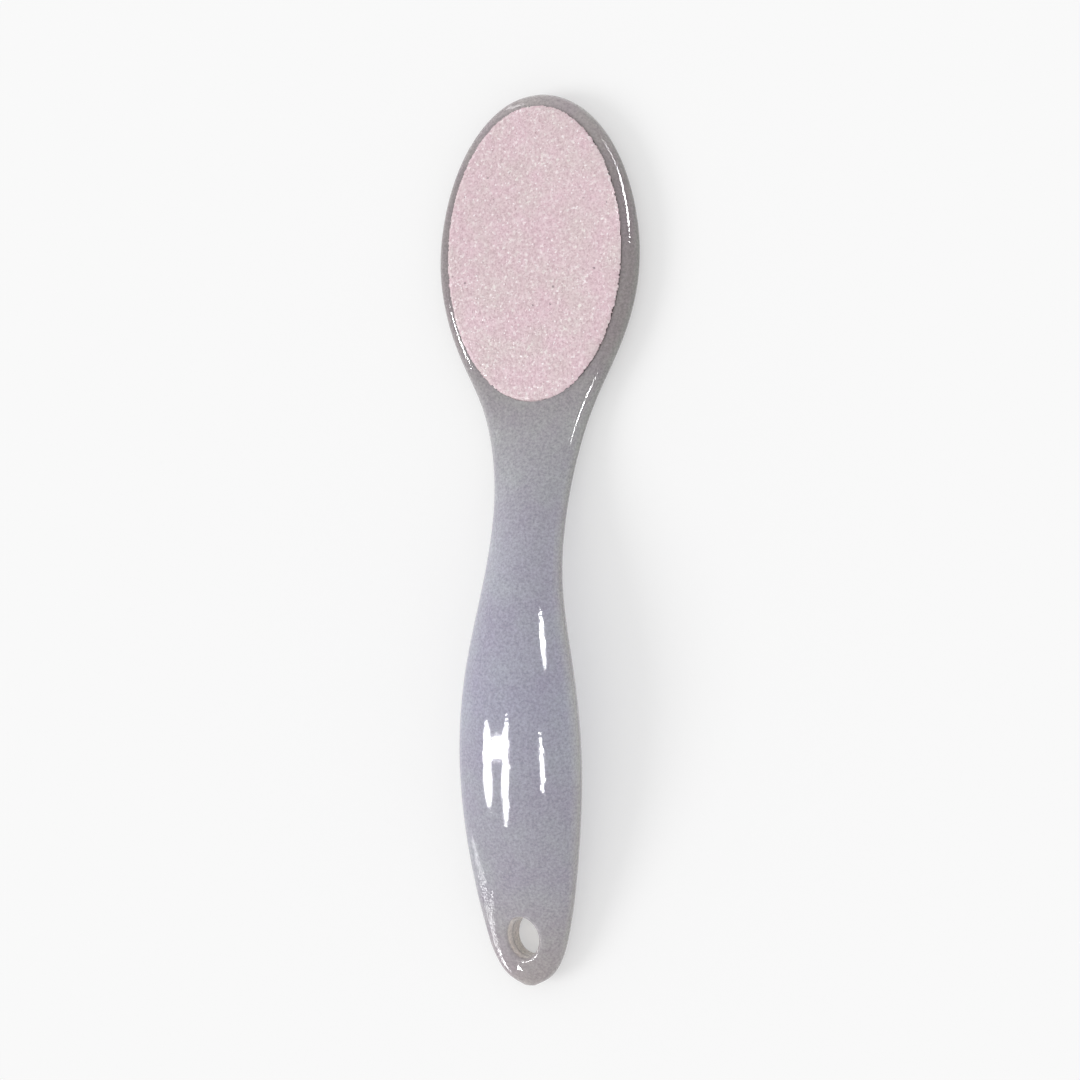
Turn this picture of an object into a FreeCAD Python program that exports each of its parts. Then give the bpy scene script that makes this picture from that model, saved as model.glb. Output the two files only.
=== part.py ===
import FreeCAD, Part
import Sketcher
import math
import os

# Foot file: a paddle with an oval abrasive pad on each side of its flat head.
# Two moulded half shells, welded along an arched parting line, make the head and the handle.
# Millimetres. X is the width, +Y runs from the tail to the head, +Z is up. The file lies on its rear
# pad and on the underside of its tail, and the origin is on that surface, under mid length.

SIZES = {
    # Whole file
    "overall_length": 210,
    "weld_gap": 0.1,
    # Trimmed flat that the mould's gate leaves at each end: width, and depth of each shell's half
    "gate_width": 2.6,
    "gate_depth": 0.6,
    # Head: oval plate with a rounded rim; reach is from the tip to the widest line
    "head_reach": 39.5,
    "head_width": 50,
    "head_depth": 3.5,
    # Sections of the head behind that line: place is from the tip, and width is across
    "brow_place": 52,
    "brow_width": 46.2,
    "shoulder_place": 63,
    "shoulder_width": 37.8,
    "root_place": 73,
    # Sections from the root of the handle to the hole: width is across, front and rear are the depths
    # of the two shells there, and lift is the height of the parting line above the head's
    "root_width": 28.2,
    "root_front": 4.5,
    "root_rear": 3,
    "root_lift": -0.5,
    "throat_width": 21.6,
    "throat_front": 5.5,
    "throat_rear": 3.2,
    "throat_lift": 0.4,
    "neck_width": 17.8,
    "neck_front": 6.6,
    "neck_rear": 5,
    "neck_lift": 3.8,
    "waist_width": 19.8,
    "waist_front": 7.2,
    "waist_rear": 7.7,
    "waist_lift": 7.9,
    "crest_width": 25.8,
    "crest_front": 8.8,
    "crest_rear": 9,
    "crest_lift": 9,
    "belly_width": 29.8,
    "belly_front": 9.3,
    "belly_rear": 9.2,
    "belly_lift": 7.7,
    "taper_width": 26.8,
    "taper_front": 7.1,
    "taper_rear": 7.8,
    "taper_lift": 4.8,
    "eye_width": 20,
    "eye_front": 4,
    "eye_rear": 5.5,
    "eye_lift": 1.4,
    # Hollow of the handle and the bosses in it
    "handle_wall": 2,
    "boss_diameter": 6.5,
    # Locating pins of the rear shell and their sockets in the front shell
    "pin_diameter": 3,
    "pin_length": 1.6,
    "pin_clearance": 0.15,
    "tip_pin_place": 20,
    "root_pin_place": 58,
    # Hanging hole; setback is from its centre to the tail's end
    "hole_setback": 12,
    "hole_width": 7.7,
    "hole_length": 10,
    "hole_round": 0.9,
    # Pads: adhesive film, backing sheet and coat of grit in a shallow oval seat
    "pad_place": 37.9,
    "pad_length": 68.8,
    "pad_width": 42.9,
    "pad_sink": 0.75,
    "pad_clearance": 0.3,
    "film_thickness": 0.15,
    "film_inset": 0.5,
    "backing_thickness": 0.6,
    "grit_thickness": 0.6,
    "grit_chamfer": 0.2,
}

# Sections of the nose, from the tip to the widest line: share of the quarter turn of the oval outline,
# share of the head's depth, and share of that depth that the shoulder radius takes
NOSE_SHARES = (
    (0.09, 0.44, 0.7),
    (0.155, 0.72, 0.8),
    (0.235, 0.92, 0.86),
    (0.335, 0.98, 0.9),
    (0.47, 1, 0.92),
    (0.625, 1, 0.93),
    (0.8, 1, 0.94),
    (1, 1, 0.94),
)

# Sections of the head behind its widest line, each with the share of its depth that the shoulder radius
# takes: high, for a flat plate with a rounded rim
HEAD_SHARES = (
    ("brow", 0.94),
    ("shoulder", 0.92),
    ("root", 0.86),
)

# Sections of the grip: share of the way from the root to the hole, and share of the depth that the
# shoulder radius takes, lower than on the head, for an oval
GRIP_SHARES = (
    ("throat", 0.088, 0.76),
    ("neck", 0.216, 0.7),
    ("waist", 0.352, 0.67),
    ("crest", 0.488, 0.65),
    ("belly", 0.664, 0.64),
    ("taper", 0.848, 0.66),
    ("eye", 1, 0.7),
)

# Sections of the rounded end: share of the way from the hole to the end, and shares of the section at
# the hole for the width, the front depth, the rear depth and the lift
END_SHARES = (
    (0.25, 0.915, 0.96, 0.905, 0.65),
    (0.5, 0.79, 0.87, 0.8, 0.3),
    (0.7, 0.645, 0.76, 0.69, 0.05),
    (0.85, 0.46, 0.59, 0.53, -0.1),
    (0.95, 0.25, 0.36, 0.32, -0.2),
)
END_ROUND_SHARE = 0.7
GATE_ROUND_SHARE = 0.6

# Hollow sections of the grip, by name
HOLLOW = ("neck", "waist", "crest", "belly", "taper")

FRONT = 1
REAR = -1
SIDE_NAMES = {FRONT: "front", REAR: "rear"}

doc = FreeCAD.newDocument("foot_file")
sheet = doc.addObject("Spreadsheet::Sheet", "sizes")
for row, (alias, value) in enumerate(SIZES.items(), start=1):
    sheet.set(f"A{row}", alias)
    sheet.set(f"B{row}", str(value))
    sheet.setAlias(f"B{row}", alias)
doc.recompute()


# Sums of sizes: each is a list of pairs, a size's name and the share of it that is taken

def amount(terms):
    return sum(sheet.get(name) * share for name, share in terms)


def formula(terms):
    return " + ".join(f"sizes.{name} * ({share})" for name, share in terms)


def times(terms, factor):
    return [(name, share * factor) for name, share in terms]


# The rear pad's face is at zero, so the head's parting line stands on half the head and one pad stack
STACK = [("film_thickness", 1), ("backing_thickness", 1), ("grit_thickness", 1)]
SEAT = [("head_depth", 1), ("pad_sink", -1)]
HEAD_RISE = SEAT + STACK


def along(place):
    """Y of a place that is given from the head's tip."""
    return [("overall_length", 0.5)] + times(place, -1)


def gate_section(place, rise):
    return {
        "place": place,
        "width": [("gate_width", 1)],
        "front": [("gate_depth", 1)],
        "rear": [("gate_depth", 1)],
        "rise": rise,
        "round_share": GATE_ROUND_SHARE,
    }


def nose_section(turn_share, depth_share, round_share):
    turn = turn_share * math.pi / 2
    return {
        "place": [("head_reach", 1 - math.cos(turn))],
        "width": [("head_width", math.sin(turn))],
        "front": [("head_depth", depth_share)],
        "rear": [("head_depth", depth_share)],
        "rise": HEAD_RISE,
        "round_share": round_share,
    }


def grip_place(way_share=1):
    """A place on the way from the root of the handle to the hole, or the hole itself."""
    return [("root_place", 1 - way_share), ("overall_length", way_share), ("hole_setback", -way_share)]


def named_section(name, place, round_share):
    lift = [(f"{name}_lift", 1)] if f"{name}_lift" in SIZES else []
    section = {
        "place": place,
        "width": [(f"{name}_width", 1)],
        "rise": HEAD_RISE + lift,
        "round_share": round_share,
    }
    for side in SIDE_NAMES.values():
        own = f"{name}_{side}"
        section[side] = [(own if own in SIZES else "head_depth", 1)]
    return section


def end_section(way_share, width_share, front_share, rear_share, lift_share):
    return {
        "place": [("overall_length", 1), ("hole_setback", way_share - 1)],
        "width": [("eye_width", width_share)],
        "front": [("eye_front", front_share)],
        "rear": [("eye_rear", rear_share)],
        "rise": HEAD_RISE + [("eye_lift", lift_share)],
        "round_share": END_ROUND_SHARE,
    }


SECTIONS = [gate_section([("head_reach", 0)], HEAD_RISE)]
SECTIONS += [nose_section(*shares) for shares in NOSE_SHARES]
SECTIONS += [named_section(name, [(f"{name}_place", 1)], share) for name, share in HEAD_SHARES]
GRIP = {name: named_section(name, grip_place(way), share) for name, way, share in GRIP_SHARES}
SECTIONS += GRIP.values()
SECTIONS += [end_section(*shares) for shares in END_SHARES]
SECTIONS += [gate_section([("overall_length", 1)], SECTIONS[-1]["rise"])]


# Sketches

def new_sketch(body, name, role, offset):
    """A sketch on one of the body's own planes; offset gives sums for the sketch's x, y and normal."""
    sketch = body.newObject("Sketcher::SketchObject", name)
    plane = next(item for item in body.Origin.OriginFeatures if item.Role == role)
    sketch.AttachmentSupport = [(plane, "")]
    sketch.MapMode = "FlatFace"
    for axis, terms in offset.items():
        sketch.setExpression(f"AttachmentOffset.Base.{axis}", formula(terms))
    return sketch


def dimension(sketch, name, terms, kind, *where):
    """A named dimension of a sketch, bound to a sum of sizes."""
    index = sketch.addConstraint(Sketcher.Constraint(kind, *where, amount(terms)))
    sketch.renameConstraint(index, name)
    sketch.setExpression(f"Constraints.{name}", formula(terms))


def flat_point(x, y):
    return FreeCAD.Vector(x, y, 0)


def centre_on_origin(sketch, curve):
    origin, point, centre = -1, 1, 3
    sketch.addConstraint(Sketcher.Constraint("Coincident", curve, centre, origin, point))


def round_arc(x, y, radius, start, stop):
    circle = Part.Circle(flat_point(x, y), FreeCAD.Vector(0, 0, 1), radius)
    return Part.ArcOfCircle(circle, start, stop)


def arch_sketch(body, name, section, side):
    """Half a cross-section: a chord on the parting line under an arch of three tangent arcs."""
    depth_sum = section[SIDE_NAMES[side]] + [("weld_gap", -0.5)]
    rise_sum = section["rise"] + [("weld_gap", side / 2)]
    radius_sum = times(depth_sum, section["round_share"])
    sketch = new_sketch(body, name, "XZ_Plane", {"y": rise_sum, "z": times(along(section["place"]), -1)})

    half = amount(section["width"]) / 2
    depth = amount(depth_sum)
    radius = amount(radius_sum)
    crown = ((half - radius) ** 2 + depth ** 2 - radius ** 2) / (2 * (depth - radius))
    lean = math.asin((half - radius) / (crown - radius))
    up = side * math.pi / 2
    if side == FRONT:
        turns = [(up - lean, up + lean), (0, up - lean), (up + lean, math.pi)]
    else:
        turns = [(up - lean, up + lean), (up + lean, 0), (-math.pi, up - lean)]
    top = sketch.addGeometry(round_arc(0, side * (depth - crown), crown, *turns[0]), False)
    right = sketch.addGeometry(round_arc(half - radius, 0, radius, *turns[1]), False)
    left = sketch.addGeometry(round_arc(radius - half, 0, radius, *turns[2]), False)
    chord = sketch.addGeometry(Part.LineSegment(flat_point(-half, 0), flat_point(half, 0)), False)
    apex = sketch.addGeometry(Part.Point(flat_point(0, side * depth)), True)

    start, stop, centre = 1, 2, 3
    origin, upright = -1, -2
    near, far = (start, stop) if side == FRONT else (stop, start)
    for rule in (
        ("Tangent", right, far, top, near),
        ("Tangent", top, far, left, near),
        ("Coincident", right, near, chord, stop),
        ("Coincident", left, far, chord, start),
        ("PointOnObject", right, centre, chord),
        ("PointOnObject", left, centre, chord),
        ("Equal", left, right),
        ("Horizontal", chord),
        ("Symmetric", chord, start, chord, stop, origin, start),
        ("PointOnObject", apex, start, upright),
        ("PointOnObject", apex, start, top),
    ):
        sketch.addConstraint(Sketcher.Constraint(*rule))
    ends = (origin, start, apex, start) if side == FRONT else (apex, start, origin, start)
    dimension(sketch, "chord", section["width"], "DistanceX", chord, start, chord, stop)
    dimension(sketch, "depth", depth_sum, "DistanceY", *ends)
    dimension(sketch, "shoulder", radius_sum, "Radius", right)
    return sketch


def oval_sketch(body, name, role, offset, long_sum, short_sum):
    """An ellipse about the sketch's origin, long along Y on the level plane and along X on the upright."""
    sketch = new_sketch(body, name, role, offset)
    reach = amount(long_sum) / 2
    breadth = amount(short_sum) / 2
    tall = role == "XY_Plane"
    if tall:
        ends = (flat_point(0, reach), flat_point(-breadth, 0))
    else:
        ends = (flat_point(reach, 0), flat_point(0, breadth))
    oval = sketch.addGeometry(Part.Ellipse(*ends, flat_point(0, 0)), False)
    sketch.exposeInternalGeometry(oval)
    long_axis, short_axis = oval + 1, oval + 2
    centre_on_origin(sketch, oval)
    sketch.addConstraint(Sketcher.Constraint("Vertical" if tall else "Horizontal", long_axis))
    dimension(sketch, "long_axis", long_sum, "Distance", long_axis)
    dimension(sketch, "short_axis", short_sum, "Distance", short_axis)
    return sketch


def disc_sketch(body, name, place, height, diameter):
    """A circle on the centre line at a place from the head's tip."""
    sketch = new_sketch(body, name, "XY_Plane", {"y": along(place), "z": height})
    disc = Part.Circle(flat_point(0, 0), FreeCAD.Vector(0, 0, 1), amount(diameter) / 2)
    index = sketch.addGeometry(disc, False)
    centre_on_origin(sketch, index)
    dimension(sketch, "diameter", diameter, "Diameter", index)
    return sketch


# Features

def grow(body, name, sketch, length, side):
    """Material added from a sketch, upwards for the front and downwards for the rear."""
    pad = body.newObject("PartDesign::Pad", name)
    pad.Profile = sketch
    pad.Reversed = side == REAR
    pad.setExpression("Length", formula(length))
    return pad


def sink(body, name, sketch, side, length=None):
    """Material cut from a sketch, upwards for the front and downwards for the rear, or right through."""
    pocket = body.newObject("PartDesign::Pocket", name)
    pocket.Profile = sketch
    pocket.Reversed = side == FRONT
    if length is None:
        pocket.Type = "ThroughAll"
    else:
        pocket.setExpression("Length", formula(length))
    return pocket


def loft(body, kind, name, sketches):
    feature = body.newObject(f"PartDesign::{kind}", name)
    feature.Profile = sketches[0]
    feature.Sections = sketches[1:]
    return feature


def cut_volume(body, step):
    """Runs a step and checks that it took material away."""
    doc.recompute()
    before = body.Shape.Volume
    step()
    doc.recompute()
    taken = before - body.Shape.Volume
    assert taken > 0, f"{body.Label}: a cut took nothing"


# Shells

def new_body(label):
    body = doc.addObject("PartDesign::Body", label)
    body.Label = label
    return body


PINS = (
    ("tip", [("tip_pin_place", 1)], HEAD_RISE),
    ("root", [("root_pin_place", 1)], HEAD_RISE),
    ("belly", GRIP["belly"]["place"], GRIP["belly"]["rise"]),
)


def hollow_oval(body, name):
    """Section of the hollow: the shells' own section less the wall, as a whole ellipse."""
    section = GRIP[name]
    depth = section["front"] + section["rear"]
    middle = section["rise"] + times(section["front"], 0.5) + times(section["rear"], -0.5)
    offset = {"y": middle, "z": times(along(section["place"]), -1)}
    inside = [("handle_wall", -2)]
    return oval_sketch(body, f"{name}_hollow", "XZ_Plane", offset, section["width"] + inside, depth + inside)


def shell(side):
    name = SIDE_NAMES[side]
    body = new_body(f"{name}_shell")
    arches = [arch_sketch(body, f"section_{index}", section, side) for index, section in enumerate(SECTIONS)]
    loft(body, "AdditiveLoft", "skin", arches)

    ovals = [hollow_oval(body, key) for key in HOLLOW]
    cut_volume(body, lambda: loft(body, "SubtractiveLoft", "hollow", ovals))

    seat_height = HEAD_RISE + times(SEAT, side)
    room = [("pad_clearance", 2)]
    seat = oval_sketch(
        body,
        "seat_outline",
        "XY_Plane",
        {"y": along([("pad_place", 1)]), "z": seat_height},
        [("pad_length", 1)] + room,
        [("pad_width", 1)] + room,
    )
    cut_volume(body, lambda: sink(body, "seat", seat, side))

    belly_rise = PINS[-1][2]
    boss_base = belly_rise + [("weld_gap", side / 2)]
    boss = disc_sketch(body, "boss_outline", PINS[-1][1], boss_base, [("boss_diameter", 1)])
    grow(body, "boss", boss, [(f"belly_{name}", 1), ("handle_wall", -0.5), ("weld_gap", -0.5)], side)

    for key, place, rise in PINS:
        if side == REAR:
            rooted = rise + [("pin_length", -1)]
            pin = disc_sketch(body, f"{key}_pin_outline", place, rooted, [("pin_diameter", 1)])
            grow(body, f"{key}_pin", pin, [("pin_length", 2)], FRONT)
        else:
            wide = [("pin_diameter", 1), ("pin_clearance", 2)]
            socket = disc_sketch(body, f"{key}_socket_outline", place, rise, wide)
            deep = [("pin_length", 1), ("pin_clearance", 1)]
            cut_volume(body, lambda: sink(body, f"{key}_socket", socket, FRONT, deep))

    hole = oval_sketch(
        body,
        "hole_outline",
        "XY_Plane",
        {"y": along(grip_place()), "z": GRIP["eye"]["rise"]},
        [("hole_length", 1)],
        [("hole_width", 1)],
    )
    cut_volume(body, lambda: hole_cut(body, hole))
    cut_volume(body, lambda: hole_mouth(body, side))
    return body


def hole_cut(body, outline):
    pocket = sink(body, "hole", outline, FRONT)
    pocket.SideType = "Symmetric"


def hole_mouth(body, side):
    """Rounds the outer edge of the hole, which lies on the skin, clear of the parting line."""
    rise = amount(GRIP["eye"]["rise"])
    half_depth = amount([(f"eye_{SIDE_NAMES[side]}", 0.5)])
    middle = amount(along(grip_place()))
    reach = amount([("hole_length", 0.5), ("hole_round", 0.5)])
    names = []
    for index, edge in enumerate(body.Shape.Edges, start=1):
        box = edge.BoundBox
        near_hole = abs(box.YMin - middle) < reach and abs(box.YMax - middle) < reach
        if near_hole and side * (edge.CenterOfMass.z - rise) > half_depth and box.XLength > 0:
            names.append(f"Edge{index}")
    hole = body.Tip
    mouth = body.newObject("PartDesign::Fillet", "hole_mouth")
    mouth.Base = (hole, names)
    mouth.setExpression("Radius", "sizes.hole_round")


# Pads

def pad_layer(side, layer, below, thickness, inset):
    """One flat oval layer of a pad stack, resting on the layers below it."""
    body = new_body(f"{SIDE_NAMES[side]}_pad_{layer}")
    height = HEAD_RISE + times(SEAT + below, side)
    outline = oval_sketch(
        body,
        f"{layer}_outline",
        "XY_Plane",
        {"y": along([("pad_place", 1)]), "z": height},
        [("pad_length", 1)] + inset,
        [("pad_width", 1)] + inset,
    )
    grow(body, layer, outline, thickness, side)
    return body


def pad_stack(side):
    film, backing, grit = ([term] for term in STACK)
    bodies = [
        pad_layer(side, "adhesive", [], film, [("film_inset", -2)]),
        pad_layer(side, "backing", film, backing, []),
        pad_layer(side, "grit", film + backing, grit, []),
    ]
    doc.recompute()
    coat = bodies[-1]
    plate = coat.Tip
    outer = max(plate.Shape.Faces, key=lambda face: side * face.CenterOfMass.z)
    edges = enumerate(plate.Shape.Edges, start=1)
    names = [f"Edge{index}" for index, edge in edges if outer.Edges[0].isSame(edge)]
    worn_edge = coat.newObject("PartDesign::Chamfer", "worn_edge")
    worn_edge.Base = (plate, names)
    worn_edge.setExpression("Size", "sizes.grit_chamfer")
    return bodies


pieces = [shell(FRONT), shell(REAR)] + pad_stack(FRONT) + pad_stack(REAR)
doc.recompute()

for item in doc.Objects:
    assert "Invalid" not in item.State and "Error" not in item.State, f"{item.Label} failed"
os.makedirs("parts", exist_ok=True)
for piece in pieces:
    shape = piece.Shape
    assert not shape.isNull() and shape.isValid(), f"{piece.Label} is not a valid solid"
    shape.exportStep(f"parts/{piece.Label}.step")
    box = shape.optimalBoundingBox()
    print(piece.Label, "solids", len(shape.Solids), "volume", round(shape.Volume, 1), box)
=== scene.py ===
# %% [markdown]
# # A foot file: moulded handle and two abrasive pads
#
# The file is a paddle of two moulded half shells with an oval abrasive pad on each side of its head.
# Its CAD model is loaded first and is the fixed frame of the scene: each piece made here takes its place
# and its size from a CAD solid, so nothing has to be fitted by eye. Lengths are in metres, +Y points
# from the tail to the head, and +Z is up.

# %% Load the CAD frame
import math

import bmesh
import bpy
from mathutils import Matrix, Vector, noise
from mathutils.interpolate import poly_3d_calc


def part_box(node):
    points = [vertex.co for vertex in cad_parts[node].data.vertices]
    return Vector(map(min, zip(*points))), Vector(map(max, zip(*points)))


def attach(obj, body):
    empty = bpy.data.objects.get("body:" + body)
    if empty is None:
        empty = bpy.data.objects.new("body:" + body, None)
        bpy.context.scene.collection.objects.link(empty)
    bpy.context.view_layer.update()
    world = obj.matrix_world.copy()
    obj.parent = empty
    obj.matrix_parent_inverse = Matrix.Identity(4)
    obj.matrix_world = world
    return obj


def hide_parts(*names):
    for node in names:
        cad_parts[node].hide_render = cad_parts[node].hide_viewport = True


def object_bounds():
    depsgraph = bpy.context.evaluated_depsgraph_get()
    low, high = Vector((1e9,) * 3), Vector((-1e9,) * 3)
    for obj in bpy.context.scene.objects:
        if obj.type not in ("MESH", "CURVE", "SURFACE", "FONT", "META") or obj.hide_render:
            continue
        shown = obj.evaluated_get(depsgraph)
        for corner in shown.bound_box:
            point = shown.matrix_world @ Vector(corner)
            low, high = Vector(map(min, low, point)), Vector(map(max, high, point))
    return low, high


MM = 0.001
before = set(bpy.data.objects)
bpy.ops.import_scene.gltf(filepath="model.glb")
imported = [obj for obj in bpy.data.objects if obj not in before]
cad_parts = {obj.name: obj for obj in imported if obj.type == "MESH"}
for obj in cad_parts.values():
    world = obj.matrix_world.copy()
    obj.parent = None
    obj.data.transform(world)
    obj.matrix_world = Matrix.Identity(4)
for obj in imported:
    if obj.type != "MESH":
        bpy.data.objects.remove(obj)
cad_low, cad_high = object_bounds()
print("CAD nodes:", ", ".join(sorted(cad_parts)))
print("CAD box in mm:", [round(c / MM, 1) for c in (cad_high - cad_low)])

# %% [markdown]
# ## Helpers for materials
#
# Paint charts and photographs give colours as sRGB hex values, but shaders work with linear light, so one
# function turns the first into the second. A second small function adds a node, sets it and links it, so
# that each material below reads as a short list of nodes. The last two start an empty material, and turn a
# pattern's size in millimetres into a texture's scale.

# %% Colour and node helpers
def linear(hex_colour):
    """sRGB hex, such as "#a5a4b1", to linear RGBA."""
    shares = [int(hex_colour[i:i + 2], 16) / 255 for i in (1, 3, 5)]
    return tuple(s / 12.92 if s <= 0.04045 else ((s + 0.055) / 1.055) ** 2.4 for s in shares) + (1,)


def add_node(tree, kind, inputs=None, stops=(), **settings):
    """A node with its settings. An input is a plain value, or the output socket that feeds it. The stops of a
    colour ramp are a place and a hex colour each."""
    node = tree.nodes.new(kind)
    for name, value in settings.items():
        setattr(node, name, value)
    for key, value in (inputs or {}).items():
        if isinstance(value, bpy.types.NodeSocket):
            tree.links.new(value, node.inputs[key])
        else:
            node.inputs[key].default_value = value
    if stops:
        elements = node.color_ramp.elements
        while len(elements) < len(stops):
            elements.new(0)
        for element, (place, colour) in zip(elements, stops):
            element.position = place
            element.color = linear(colour)
    return node


def new_material(name):
    material = bpy.data.materials.new(name)
    material.use_nodes = True
    tree = material.node_tree
    tree.nodes.clear()
    return material, tree


def per_mm(size_mm):
    """Texture scale of a pattern whose cells are this many millimetres across."""
    return 1 / (size_mm * MM)


# %% [markdown]
# ## The handle's plastic: gloss moulded polystyrene
#
# The shells are moulded from milky polystyrene, a hard plastic with a high gloss straight from a polished
# mould. Its colour is a grey of its own with painted light on it. A colour ramp on the Y coordinate gives the
# faces painted tints of reflected surroundings: warm grey at the head and the tail, lavender on the grip, and
# lighter at the head's far end. A second ramp gives the flanks a painted reflection of the pale floor and
# painted shade on the head's flanks, and the surface's own direction mixes the two. The wall of the hanging
# hole is painted paler, as painted light that lifts the shade inside the hole.

# %% Plastic colour
# Painted light: the face colours carry painted tints of reflected surroundings, warm at both ends, lavender
# on the grip, lighter at the head's far end.
FACE_TONE_AND_PAINTED_LIGHT = (
    (0.0, "#b8afae"), (0.12, "#bab8c1"), (0.32, "#bcbccc"), (0.5, "#c0bfcb"), (0.62, "#bab8bc"),
    (0.72, "#a69d9e"), (0.9, "#a39a9b"), (0.97, "#b9b0b1"), (1.0, "#c3b9bb"),
)
# Painted reflection and shade: the flank colours paint the pale floor's reflection at grazing angles, and
# shade on the head's flanks.
FLANK_PAINTED_SHEEN_AND_SHADE = (
    (0.0, "#b6b1ae"), (0.32, "#c2c1c0"), (0.62, "#b0afac"), (0.75, "#9a9894"), (0.92, "#9a9894"),
    (1.0, "#b8b3b2"),
)
# Painted light: the hanging hole's wall is painted nearly white to lift the shade inside the hole.
HOLE_WALL_PAINTED_LIGHT = "#f8f0ea"
HOLE_CENTRE = Vector((0, -93 * MM, 0))
HOLE_HALF = Vector((3.85 * MM, 5 * MM, 1))


def tone_with_painted_light(tree, sides):
    """The plastic's colour at a place with its painted light and shade, before clouds and flecks."""
    place = sides["Object"]
    along = add_node(tree, "ShaderNodeSeparateXYZ", {"Vector": place}).outputs["Y"]
    share = add_node(tree, "ShaderNodeMapRange", {
        "Value": along, "From Min": cad_low.y, "From Max": cad_high.y,
    }).outputs["Result"]
    face = add_node(tree, "ShaderNodeValToRGB", {"Fac": share}, FACE_TONE_AND_PAINTED_LIGHT).outputs["Color"]
    flank = add_node(tree, "ShaderNodeValToRGB", {"Fac": share}, FLANK_PAINTED_SHEEN_AND_SHADE).outputs["Color"]
    # Painted light and shade: the surface's direction picks the colour, so steep flanks take the flank ramp's
    # painted reflection and shade.
    lean = add_node(tree, "ShaderNodeSeparateXYZ", {"Vector": sides["Normal"]}).outputs["Z"]
    upright = add_node(tree, "ShaderNodeMath", {0: lean}, operation="ABSOLUTE").outputs[0]
    flat = add_node(tree, "ShaderNodeMapRange", {
        "Value": upright, "From Min": 0.1, "From Max": 0.65,
    }).outputs["Result"]
    # Painted light: near the hanging hole the steep wall takes the painted pale colour.
    offset = add_node(tree, "ShaderNodeVectorMath", {0: place, 1: HOLE_CENTRE},
                      operation="SUBTRACT").outputs[0]
    shares = add_node(tree, "ShaderNodeVectorMath", {0: offset, 1: HOLE_HALF},
                      operation="DIVIDE").outputs[0]
    way = add_node(tree, "ShaderNodeVectorMath", {0: shares}, operation="LENGTH").outputs["Value"]
    near = add_node(tree, "ShaderNodeMapRange", {
        "Value": way, "From Min": 1.0, "From Max": 1.12, "To Min": 1.0, "To Max": 0.0,
    }).outputs["Result"]
    wall = add_node(tree, "ShaderNodeMix", {0: near, 6: flank, 7: linear(HOLE_WALL_PAINTED_LIGHT)},
                    data_type="RGBA").outputs[2]
    return add_node(tree, "ShaderNodeMix", {0: flat, 6: wall, 7: face}, data_type="RGBA").outputs[2]


print("Colours along the handle:", len(FACE_TONE_AND_PAINTED_LIGHT), "on the faces,", len(FLANK_PAINTED_SHEEN_AND_SHADE), "on the flanks")

# %% [markdown]
# The melt's flow leaves a faint cloudiness and fine flecks of pigment, and subsurface scattering lets the
# light a few millimetres in. The skin's orange peel is too shallow to model, but it breaks up the edges of
# reflected lamps, so it is a bump.

# %% Plastic material
CLOUD_MM = 9
FLECK_MM = 0.6
PEEL_MM = 0.7
PEEL_HEIGHT = 0.02 * MM
MILK_DEPTH = 3.5 * MM


def moulded_polystyrene():
    material, tree = new_material("polystyrene_gloss_moulded")
    sides = add_node(tree, "ShaderNodeTexCoord").outputs
    place = sides["Object"]
    painted_light_tone = tone_with_painted_light(tree, sides)

    cloud = add_node(tree, "ShaderNodeTexNoise", {
        "Vector": place, "Scale": per_mm(CLOUD_MM), "Detail": 3.0, "Roughness": 0.6,
    }).outputs["Fac"]
    fleck = add_node(tree, "ShaderNodeTexNoise", {
        "Vector": place, "Scale": per_mm(FLECK_MM), "Detail": 2.0, "Roughness": 0.7,
    }).outputs["Fac"]
    shade = add_node(tree, "ShaderNodeValToRGB", {"Fac": cloud}, (
        (0.3, "#f5f1f6"), (0.7, "#fcfffb"),
    )).outputs["Color"]
    grain = add_node(tree, "ShaderNodeValToRGB", {"Fac": fleck}, (
        (0.3, "#d3d3d5"), (0.7, "#ffffff"),
    )).outputs["Color"]
    clouded = add_node(tree, "ShaderNodeMix", {0: 1.0, 6: painted_light_tone, 7: shade},
                       data_type="RGBA", blend_type="MULTIPLY").outputs[2]
    colour = add_node(tree, "ShaderNodeMix", {0: 1.0, 6: clouded, 7: grain},
                      data_type="RGBA", blend_type="MULTIPLY").outputs[2]
    rough = add_node(tree, "ShaderNodeMapRange", {
        "Value": cloud, "From Min": 0.3, "From Max": 0.7, "To Min": 0.05, "To Max": 0.09,
    }).outputs["Result"]
    peel = add_node(tree, "ShaderNodeTexNoise", {
        "Vector": place, "Scale": per_mm(PEEL_MM), "Detail": 1.0,
    }).outputs["Fac"]
    normal = add_node(tree, "ShaderNodeBump", {
        "Height": peel, "Strength": 1.0, "Distance": PEEL_HEIGHT,
    }).outputs["Normal"]
    shader = add_node(tree, "ShaderNodeBsdfPrincipled", {
        "Base Color": colour, "Roughness": rough, "Normal": normal, "IOR": 1.59,
        "Subsurface Weight": 0.7, "Subsurface Radius": (1, 1, 1), "Subsurface Scale": MILK_DEPTH,
    })
    add_node(tree, "ShaderNodeOutputMaterial", {"Surface": shader.outputs["BSDF"]})
    return material


plastic = moulded_polystyrene()
for name in ("front_shell", "rear_shell"):
    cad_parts[name].data.materials.clear()
    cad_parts[name].data.materials.append(plastic)
print("Plastic on the shells:", plastic.name)

# %% [markdown]
# ## The sheet behind the grains, and its glue
#
# The grains sit on a stiff sheet of vulcanised fibre: plies of paper that a chemical bath fuses into one
# hard sheet, which is then rolled flat. A brownish acrylic film sticks it into the shell's shallow seat. The
# grains nearly hide the sheet's edge, and the film shows nowhere, but each still has its own finish, because
# the pad may be peeled off.

# %% Sheet and film materials
FIBRE_MM = 0.5


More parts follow.
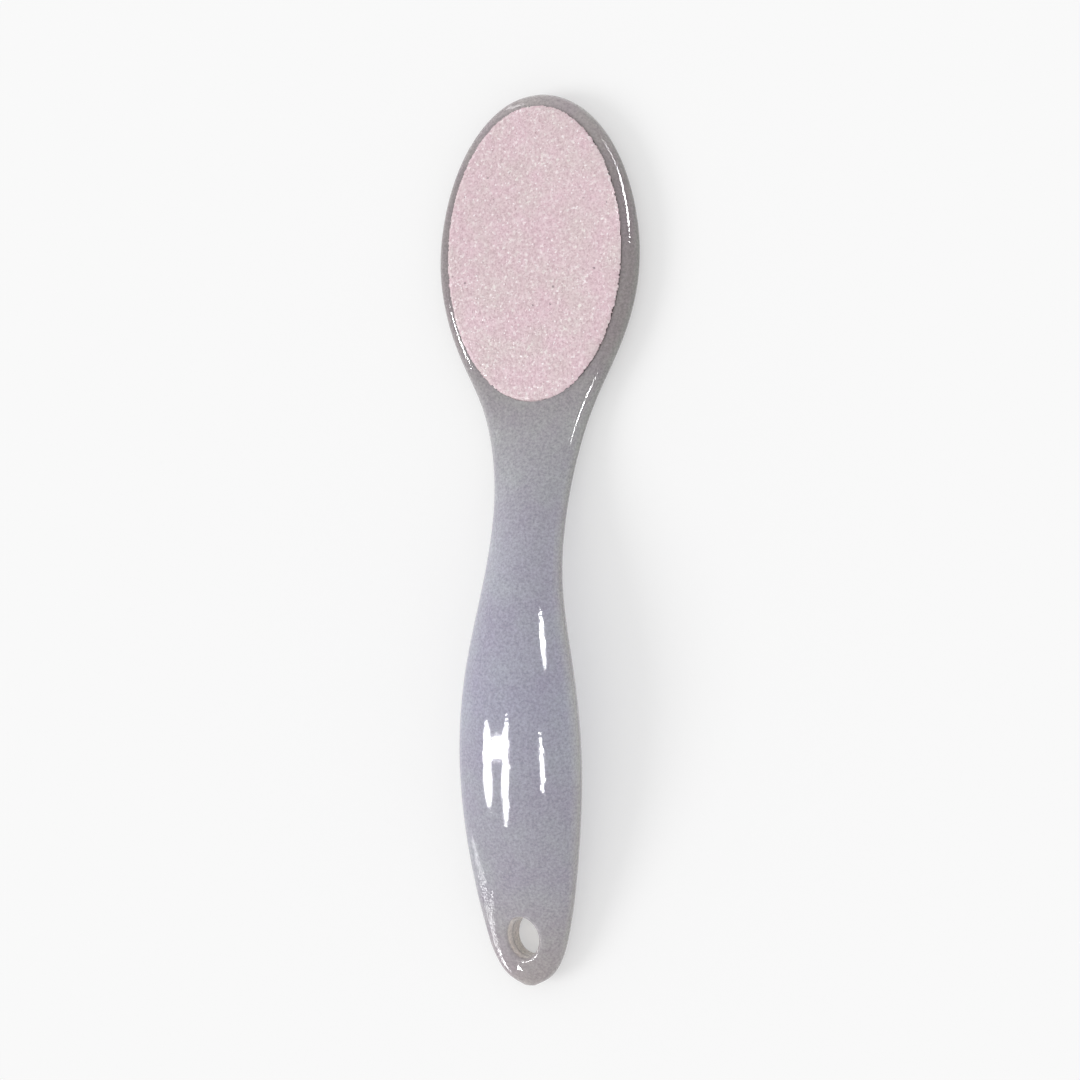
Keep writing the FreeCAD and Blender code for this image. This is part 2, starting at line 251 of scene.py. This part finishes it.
def vulcanised_fibre():
    material, tree = new_material("vulcanised_fibre_rolled_sheet")
    place = add_node(tree, "ShaderNodeTexCoord").outputs["Object"]
    fibre = add_node(tree, "ShaderNodeTexNoise", {
        "Vector": place, "Scale": per_mm(FIBRE_MM), "Detail": 4.0, "Distortion": 1.5,
    }).outputs["Fac"]
    colour = add_node(tree, "ShaderNodeValToRGB", {"Fac": fibre}, (
        (0.3, "#a98e8c"), (0.7, "#c0a8a5"),
    )).outputs["Color"]
    normal = add_node(tree, "ShaderNodeBump", {
        "Height": fibre, "Strength": 0.5, "Distance": 0.05 * MM,
    }).outputs["Normal"]
    shader = add_node(tree, "ShaderNodeBsdfPrincipled", {
        "Base Color": colour, "Roughness": 0.6, "Normal": normal,
    })
    add_node(tree, "ShaderNodeOutputMaterial", {"Surface": shader.outputs["BSDF"]})
    return material


def acrylic_film():
    material, tree = new_material("acrylic_adhesive_cast_film")
    place = add_node(tree, "ShaderNodeTexCoord").outputs["Object"]
    haze = add_node(tree, "ShaderNodeTexNoise", {
        "Vector": place, "Scale": per_mm(CLOUD_MM), "Detail": 3.0,
    }).outputs["Fac"]
    colour = add_node(tree, "ShaderNodeValToRGB", {"Fac": haze}, (
        (0.3, "#9a766d"), (0.7, "#a68279"),
    )).outputs["Color"]
    shader = add_node(tree, "ShaderNodeBsdfPrincipled", {
        "Base Color": colour, "Roughness": 0.35, "IOR": 1.47,
    })
    add_node(tree, "ShaderNodeOutputMaterial", {"Surface": shader.outputs["BSDF"]})
    return material


for layer, finish in (("backing", vulcanised_fibre()), ("adhesive", acrylic_film())):
    for side in ("front", "rear"):
        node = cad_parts[f"{side}_pad_{layer}"]
        node.data.materials.clear()
        node.data.materials.append(finish)
    print("Finish of each", layer, "layer:", finish.name)

# %% [markdown]
# ## The abrasive grains' finish
#
# The pads are coated with pink fused alumina, a crushed crystal. Most grains are pale pink, some are nearly
# white, and a few dark ones got into the batch. The coat's mesh stores a random number per grain, and a
# colour ramp reads it, so that the colours follow the modelled grains. Each grain is broken into smaller
# crystal faces, which get painted light and shade: each face is painted a little lighter or darker at random,
# and the few that flash get a painted white glint along with a smoother finish. The batch's tint drifts
# slowly over the pad.

# %% Grain material
TINT_MM = 7


def fused_alumina(name, stops, crystal_mm):
    material, tree = new_material(name)
    place = add_node(tree, "ShaderNodeTexCoord").outputs["Object"]
    lot = add_node(tree, "ShaderNodeAttribute", attribute_name="grain_lot").outputs["Fac"]
    pink = add_node(tree, "ShaderNodeValToRGB", {"Fac": lot}, stops).outputs["Color"]
    batch = add_node(tree, "ShaderNodeTexNoise", {
        "Vector": place, "Scale": per_mm(TINT_MM), "Detail": 2.0,
    }).outputs["Fac"]
    tint = add_node(tree, "ShaderNodeValToRGB", {"Fac": batch}, (
        (0.35, "#fffafb"), (0.65, "#fbfff9"),
    )).outputs["Color"]
    crystal = add_node(tree, "ShaderNodeTexVoronoi", {"Vector": place, "Scale": per_mm(crystal_mm)})
    facet = add_node(tree, "ShaderNodeSeparateColor", {"Color": crystal.outputs["Color"]}).outputs
    # Painted light and shade: each crystal face is painted a little lighter or darker at random.
    facet_painted_shade = add_node(tree, "ShaderNodeValToRGB", {"Fac": facet["Red"]}, (
        (0.0, "#e9e2e4"), (0.7, "#ffffff"),
    )).outputs["Color"]
    tinted = add_node(tree, "ShaderNodeMix", {0: 1.0, 6: pink, 7: tint},
                      data_type="RGBA", blend_type="MULTIPLY").outputs[2]
    shaded = add_node(tree, "ShaderNodeMix", {0: 1.0, 6: tinted, 7: facet_painted_shade},
                      data_type="RGBA", blend_type="MULTIPLY").outputs[2]
    # Painted glint: the few faces that flash are painted white, on top of their lower roughness.
    painted_glint = add_node(tree, "ShaderNodeMapRange", {
        "Value": facet["Green"], "From Min": 0.95, "From Max": 1.0,
    }).outputs["Result"]
    colour = add_node(tree, "ShaderNodeMix", {0: painted_glint, 6: shaded, 7: linear("#fff6f8")},
                      data_type="RGBA").outputs[2]
    rough = add_node(tree, "ShaderNodeMapRange", {
        "Value": facet["Green"], "From Min": 0.75, "From Max": 1.0, "To Min": 0.6, "To Max": 0.18,
    }).outputs["Result"]
    normal = add_node(tree, "ShaderNodeBump", {
        "Height": crystal.outputs["Distance"], "Strength": 0.5, "Distance": 0.06 * MM,
    }).outputs["Normal"]
    shader = add_node(tree, "ShaderNodeBsdfPrincipled", {
        "Base Color": colour, "Roughness": rough, "Normal": normal, "IOR": 1.76,
    })
    add_node(tree, "ShaderNodeOutputMaterial", {"Surface": shader.outputs["BSDF"]})
    return material


coarse_stops = ((0.0, "#93848a"), (0.004, "#ddc5cd"), (0.5, "#e3ccd3"), (0.9, "#e8d5db"), (0.97, "#f4e9eb"))
fine_stops = ((0.0, "#a7969c"), (0.004, "#dbc3cc"), (0.5, "#dfc7d0"), (0.92, "#e3cfd7"), (0.98, "#efe2e7"))
coarse_alumina = fused_alumina("pink_fused_alumina_crushed_coarse", coarse_stops, crystal_mm=0.35)
fine_alumina = fused_alumina("pink_fused_alumina_crushed_fine", fine_stops, crystal_mm=0.25)
print("Grain finishes:", coarse_alumina.name, "and", fine_alumina.name)

# %% [markdown]
# ## The coats of grains
#
# A coat is thousands of broken crystals side by side. Modelling each crystal as a piece of its own would
# take far too many faces, and a bump would leave the outline smooth, so each coat is a fine grid that is
# cut into crystals: every vertex finds the crystal it belongs to, takes that crystal's height and slope,
# and sinks towards the joint with the next one. Crystals whose middle lies outside the oval are left out,
# which gives the pad its slightly ragged edge, and the ones next to it are worn low, which softens it.
#
# The noise module starts from the clock unless it is given a seed. It gets one here, so that the crystals
# come out the same each time.

# %% One crystal
FRONT_GRAIN_MM = 0.62
PATTERN_SLICE = 0.37
JOINT_STEEPNESS = 2.5
CHANCE_STRETCH = 9.7
GRAIN_SEED = 11

noise.seed_set(GRAIN_SEED)


def grain_at(x, y, grain):
    """The crystal at a place: its middle, how deep inside it the place lies, and its own random vector."""
    distances, middles = noise.voronoi(Vector((x / grain, y / grain, PATTERN_SLICE)))
    middle = Vector((middles[0].x * grain, middles[0].y * grain, 0))
    inside = min(1, (distances[1] - distances[0]) * JOINT_STEEPNESS)
    return middle, inside, noise.noise_vector(middles[0] * CHANCE_STRETCH)


first_middle = grain_at(0, 0, FRONT_GRAIN_MM * MM)[0]
print("Crystal at the pad's middle lies at", [round(c / MM, 2) for c in first_middle], "mm")

# %% [markdown]
# The pad's sheet sits in its seat with a little clearance, and the grains reach over that gap and just onto
# the shell's rim. The coat's base is lifted by a hair, so that the two do not cut into each other. The side
# wall is made edge by edge, in the mesh's own order, so that a rerun gives the same mesh.

# %% Grid cut into crystals
OVERHANG = 0.45 * MM
WALL_REACH = 0.5 * MM
LIFT = 0.02 * MM
EDGE_WEAR = 0.7 * MM
WORN_LEAST = 0.15
HEIGHT_SPREAD = 0.55
SLOPE_SPREAD = 0.9
JOINT_DEPTH = 0.2
LOT_STRETCH = 31


def beyond(place, half, margin):
    """Whether a place lies outside the pad's oval, grown by a margin."""
    return (place.x / (half.x + margin)) ** 2 + (place.y / (half.y + margin)) ** 2 > 1


def crystal_sheet(half, thick, grain, step, relief_share):
    """A mesh of crystals over the oval, and its layer with each crystal's random number."""
    mesh = bmesh.new()
    bmesh.ops.create_grid(
        mesh,
        x_segments=round(2 * half.x / step),
        y_segments=round(2 * half.y / step),
        size=1,
        matrix=Matrix.Diagonal((half.x + WALL_REACH, half.y + WALL_REACH, 1, 1)),
    )
    lot = mesh.verts.layers.float.new("grain_lot")
    outside = []
    for vert in mesh.verts:
        middle, inside, chance = grain_at(vert.co.x, vert.co.y, grain)
        if beyond(vert.co, half, WALL_REACH) or beyond(vert.co.lerp(middle, 0.5), half, OVERHANG):
            outside.append(vert)
            continue
        slope = chance.x * (vert.co.x - middle.x) / grain + chance.y * (vert.co.y - middle.y) / grain
        top = 1 - relief_share * min(1, max(0, 0.5 + HEIGHT_SPREAD * chance.z - SLOPE_SPREAD * slope))
        reach = math.hypot(vert.co.x / (half.x + OVERHANG), vert.co.y / (half.y + OVERHANG))
        worn = min(1, max(WORN_LEAST, (1 - reach) * half.x / EDGE_WEAR))
        vert.co.z = thick * worn * (top - JOINT_DEPTH * relief_share * (1 - inside) ** 2)
        vert[lot] = noise.cell(middle / grain * LOT_STRETCH) * 0.5 + 0.5
    bmesh.ops.delete(mesh, geom=outside, context="VERTS")
    loose = [vert for vert in mesh.verts if not vert.link_faces]
    bmesh.ops.delete(mesh, geom=loose, context="VERTS")
    return mesh, lot


def close_below(mesh, lot):
    """Give the sheet of crystals its side wall and base."""
    rim = [edge for edge in mesh.edges if edge.is_boundary]
    foot = {}
    for vert in [vert for edge in rim for vert in edge.verts]:
        if vert not in foot:
            foot[vert] = mesh.verts.new((vert.co.x, vert.co.y, LIFT))
            foot[vert][lot] = 0.5
    base = []
    for edge in rim:
        first, last = edge.verts
        mesh.faces.new((first, last, foot[last], foot[first]))
        base.append(mesh.edges.get((foot[first], foot[last])))
    bmesh.ops.holes_fill(mesh, edges=base)


print("Grains reach", round(OVERHANG / MM, 2), "mm past the sheet's edge")

# %% [markdown]
# Each coat takes its place, size and thickness from the CAD coat that it stands in for. The rear coat is
# turned over, and its grains are finer.

# %% Both coats
GRID_STEP_MM = 0.22
REAR_GRAIN_MM = 0.45


def grit_coat(side, up, grain_mm, relief_share, finish):
    name = f"{side}_grit_coat"
    node = f"{side}_pad_grit"
    low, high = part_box(node)
    centre = (low + high) / 2
    half = (high - low) / 2
    mesh, lot = crystal_sheet(half, high.z - low.z, grain_mm * MM, GRID_STEP_MM * MM, relief_share)
    close_below(mesh, lot)
    if up:
        place = Matrix.Translation((centre.x, centre.y, low.z))
    else:
        place = Matrix.Translation((centre.x, centre.y, high.z)) @ Matrix.Rotation(math.pi, 4, "Y")
    bmesh.ops.transform(mesh, matrix=place, verts=mesh.verts)
    bmesh.ops.recalc_face_normals(mesh, faces=mesh.faces)

    data = bpy.data.meshes.new(name)
    mesh.to_mesh(data)
    mesh.free()
    data.materials.append(finish)
    coat = bpy.data.objects.new(name, data)
    bpy.context.scene.collection.objects.link(coat)
    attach(coat, "root")
    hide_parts(node)
    print(name, "has", len(data.polygons), "faces, grains of", grain_mm, "mm")


grit_coat("front", up=True, grain_mm=FRONT_GRAIN_MM, relief_share=0.42,
          finish=coarse_alumina)
grit_coat("rear", up=False, grain_mm=REAR_GRAIN_MM, relief_share=0.33,
          finish=fine_alumina)

# %% [markdown]
# ## Camera
#
# The camera stands half a metre above the file, swung towards +X so that the right rim shows more than the
# left one, with a long lens that keeps the handle's taper true.

# %% Camera
VIEW_DISTANCE = 0.5
VIEW_SWING = math.radians(21.29)
VIEW_ROLL = math.radians(0.711)
VIEW_TARGET = Vector((0, 0, 9 * MM))
VIEW_SLIDE = (2.92 * MM, -0.01 * MM)
IMAGE_SIZE = 1080
FOCAL_PIXELS = 2138

back = Vector((math.sin(VIEW_SWING), 0, math.cos(VIEW_SWING)))
level = Vector((math.cos(VIEW_SWING), 0, -math.sin(VIEW_SWING)))
right = level * math.cos(VIEW_ROLL) + Vector((0, 1, 0)) * math.sin(VIEW_ROLL)
up = back.cross(right)
eye = VIEW_TARGET + back * VIEW_DISTANCE + right * VIEW_SLIDE[0] + up * VIEW_SLIDE[1]

camera = bpy.data.objects.new("camera", bpy.data.cameras.new("camera"))
camera.data.sensor_width = 36
camera.data.lens = camera.data.sensor_width * FOCAL_PIXELS / IMAGE_SIZE
camera.matrix_world = Matrix.Translation(eye) @ Matrix((right, up, back)).transposed().to_4x4()
bpy.context.scene.collection.objects.link(camera)
bpy.context.scene.camera = camera
print("Lens in mm:", round(camera.data.lens, 1))

# %% [markdown]
# ## Floor and soft light
#
# The floor is matt and almost white. A soft sun from the left throws a soft shadow to the right, and an
# even pale world fills the rest. Their strengths add up to a plain level, at which a colour renders about
# as it is written.

# %% Floor, world and sun
FLOOR_HALF = 3.0
GLOW_SHARE = 0.42
AMBIENT = 0.8
SUN_IRRADIANCE = 1.05
SUN_SIDE = math.radians(-52)
SUN_TILT = math.radians(-12)
SUN_WIDTH = math.radians(28)


def toward(side, tilt):
    """Unit vector that leans from +Z by an angle to the side, +X, and then by a tilt to +Y."""
    return Vector((math.sin(side) * math.cos(tilt), math.sin(tilt), math.cos(side) * math.cos(tilt)))


def matt_paper():
    material, tree = new_material("matt_paper_sweep")
    paper = add_node(tree, "ShaderNodeBsdfDiffuse", {"Color": linear("#f9f9f9")})
    glow = add_node(tree, "ShaderNodeEmission", {"Color": linear("#f9f9f9"), "Strength": 1.0})
    path = add_node(tree, "ShaderNodeLightPath").outputs
    seen = add_node(tree, "ShaderNodeMath", {0: path["Is Camera Ray"], 1: path["Is Glossy Ray"]},
                    operation="MAXIMUM").outputs[0]
    seen = add_node(tree, "ShaderNodeMath", {0: seen, 1: path["Is Transmission Ray"]},
                    operation="MAXIMUM").outputs[0]
    share = add_node(tree, "ShaderNodeMath", {0: seen, 1: GLOW_SHARE}, operation="MULTIPLY").outputs[0]
    shader = add_node(tree, "ShaderNodeMixShader", {0: share, 1: paper.outputs[0], 2: glow.outputs[0]})
    add_node(tree, "ShaderNodeOutputMaterial", {"Surface": shader.outputs[0]})
    return material


mesh = bmesh.new()
bmesh.ops.create_grid(mesh, x_segments=1, y_segments=1, size=FLOOR_HALF)
floor = bpy.data.objects.new("floor", bpy.data.meshes.new("floor"))
mesh.to_mesh(floor.data)
mesh.free()
floor.data.materials.append(matt_paper())
bpy.context.scene.collection.objects.link(floor)

world = bpy.data.worlds.new("studio")
world.use_nodes = True
world.node_tree.nodes["Background"].inputs["Color"].default_value = linear("#ffffff")
world.node_tree.nodes["Background"].inputs["Strength"].default_value = AMBIENT
bpy.context.scene.world = world

sun = bpy.data.objects.new("soft_sun", bpy.data.lights.new("soft_sun", "SUN"))
sun.data.energy = SUN_IRRADIANCE
sun.data.angle = SUN_WIDTH
sun.matrix_world = toward(SUN_SIDE, SUN_TILT).to_track_quat("Z", "Y").to_matrix().to_4x4()
sun.visible_glossy = False
bpy.context.scene.collection.objects.link(sun)
print("Soft sun from", [round(c, 2) for c in toward(SUN_SIDE, SUN_TILT)])

# %% [markdown]
# ## Strip lamps for the gloss
#
# A gloss shape reads by what it mirrors: here a window with a bar on the grip, two tubes beside it, and thin
# lines along the rim and the tail. A lamp is seen in the skin where the skin's direction halves the angle
# between the lamp and the eye. So each lamp needs only the place where its streak should lie: a ray from
# above finds the skin there, and the mirror rule gives the direction in which the lamp stands. The CAD mesh
# is made of flat faces, so the skin's direction is mixed from the directions at the face's corners.

# %% What the skin mirrors
def mirrored(x, y):
    """The place on the front skin below a point, and the direction that the camera sees mirrored there."""
    above = Vector((x, y, 2 * cad_high.z))
    current = bpy.context.evaluated_depsgraph_get()
    _, place, _, index, shell, turn = bpy.context.scene.ray_cast(current, above, Vector((0, 0, -1)))
    mesh = shell.data
    face = mesh.polygons[index]
    corners = [turn @ mesh.vertices[corner].co for corner in face.vertices]
    shares = poly_3d_calc(corners, place)
    normal = Vector()
    for share, loop in zip(shares, face.loop_indices):
        normal += share * (turn.to_3x3() @ mesh.corner_normals[loop].vector)
    return place, (place - eye).normalized().reflect(normal.normalized())


print("Middle of the handle mirrors", [round(c, 2) for c in mirrored(0, 0)[1]])

# %% [markdown]
# The strips are seen in the gloss only, and each has a narrow beam, so they light neither the floor nor the
# rest of the handle. A lamp's power is spread over its face and its beam, so the power is worked out from the
# brightness that its middle should have.

# %% Strip lamps
STRIPS = (
    # name, shape, place of the streak in mm, distance in mm, then twist, width, length and beam in degrees,
    # and brightness
    ("window_far", "ELLIPSE", (-5, -52.4), 150, -2, 14, 22.5, 56, 30),
    ("window_near", "ELLIPSE", (0, -53.1), 150, -21, 9, 33, 60, 30),
    ("window_bar", "RECTANGLE", (-2.2, -48.2), 150, -3, 29, 5.5, 56, 36),
    ("tube_low", "ELLIPSE", (8.2, -51.1), 150, -7, 6, 18.5, 50, 30),
    ("tube_high", "ELLIPSE", (7.9, -22.8), 100, -8, 9, 20, 50, 35),
    ("rim_right", "ELLIPSE", (22.5, 78.1), 60, -25, 13, 44, 70, 30),
    ("rim_right_up", "ELLIPSE", (18.8, 89.3), 30, 32, 4, 34, 60, 26),
    ("neck_right", "ELLIPSE", (12.1, 30.5), 30, 21, 6, 13, 36, 60),
    ("rim_left", "ELLIPSE", (-19.1, 48.7), 60, 38, 6, 25, 27, 45),
    ("rim_top", "ELLIPSE", (-7.1, 101.8), 60, 0, 16, 18, 30, 4),
    ("tail_edge", "RECTANGLE", (-9, -78.4), 60, 29, 1.5, 40, 110, 7),
    ("tail_low", "RECTANGLE", (-5.9, -98.8), 60, -39, 2.5, 35.4, 36, 14),
    ("tail_spot", "ELLIPSE", (-1.2, -100.6), 20, 12, 6, 11, 26, 60),
)


def strip_lamp(name, shape, streak, distance, twist, width, length, beam, brightness):
    target, out = mirrored(streak[0] * MM, streak[1] * MM)
    distance = distance * MM
    lamp = bpy.data.lights.new(name, "AREA")
    lamp.shape = shape
    lamp.size = 2 * distance * math.tan(math.radians(width / 2))
    lamp.size_y = 2 * distance * math.tan(math.radians(length / 2))
    lamp.spread = math.radians(beam)
    half = lamp.spread / 2
    focus = math.sin(half) ** 2 - (half - math.sin(2 * half) / 2) / math.tan(half)
    lamp.energy = math.pi * lamp.size * lamp.size_y * focus * brightness
    across = Vector((0, 1, 0)).cross(out).normalized()
    turn = Matrix((across, out.cross(across), out)).transposed().to_4x4()
    strip = bpy.data.objects.new(name, lamp)
    strip.matrix_world = (Matrix.Translation(target + out * distance) @ turn
                          @ Matrix.Rotation(math.radians(twist), 4, "Z"))
    strip.visible_diffuse = False
    bpy.context.scene.collection.objects.link(strip)


for row in STRIPS:
    strip_lamp(*row)
print("Strip lamps:", ", ".join(row[0] for row in STRIPS))

bpy.context.scene.view_settings.view_transform = "Standard"
